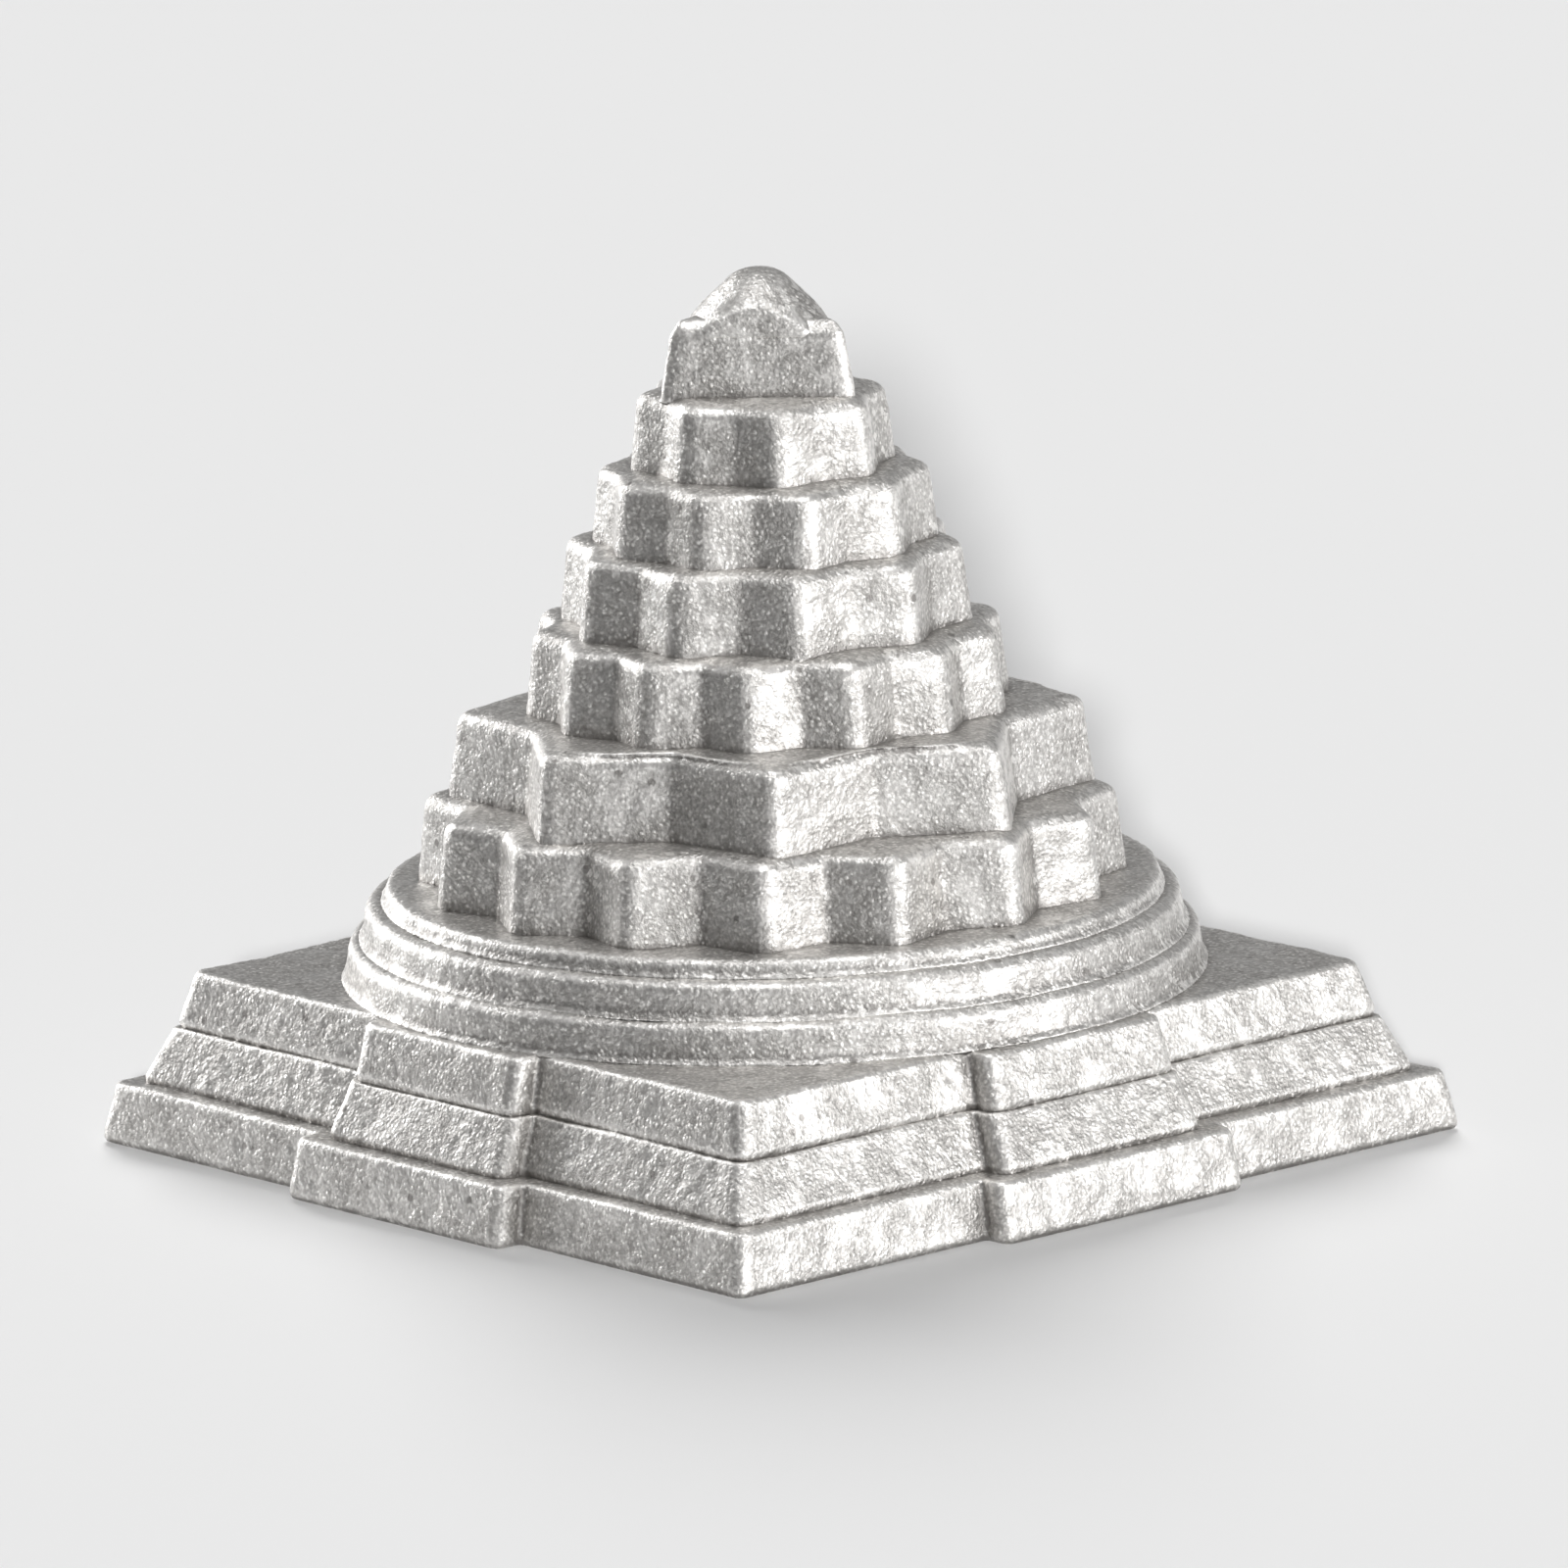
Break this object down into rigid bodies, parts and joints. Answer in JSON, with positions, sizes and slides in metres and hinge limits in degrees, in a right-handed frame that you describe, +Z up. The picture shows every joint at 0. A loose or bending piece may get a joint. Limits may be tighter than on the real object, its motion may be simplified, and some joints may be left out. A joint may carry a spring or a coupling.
{
  "type": "meru shri yantra",
  "caption": "Small cast metal shri yantra in raised pyramid form: gated square base in steps, round steps, star-shaped tiers, triangle and dome.",
  "frame": {"origin": "middle of the flat underside", "axes": "+Z up to the dome, X and Y square to the sides of the base"},
  "size_m": [0.0342, 0.0342, 0.0294],
  "materials": {
    "cast_silver": "sand-cast silver-white metal, frosty and unpolished"
  },
  "bodies": {
    "root": {"lower_square_step": "cast_silver", "middle_square_step": "cast_silver", "upper_square_step": "cast_silver", "lower_round_step": "cast_silver", "middle_round_step": "cast_silver", "upper_round_step": "cast_silver", "sixteen_petal_tier": "cast_silver", "eight_petal_tier": "cast_silver", "fourteen_point_tier": "cast_silver", "outer_ten_point_tier": "cast_silver", "inner_ten_point_tier": "cast_silver", "eight_point_tier": "cast_silver", "triangle_tier": "cast_silver", "bindu_dome": "cast_silver"}
  },
  "joints": []
}
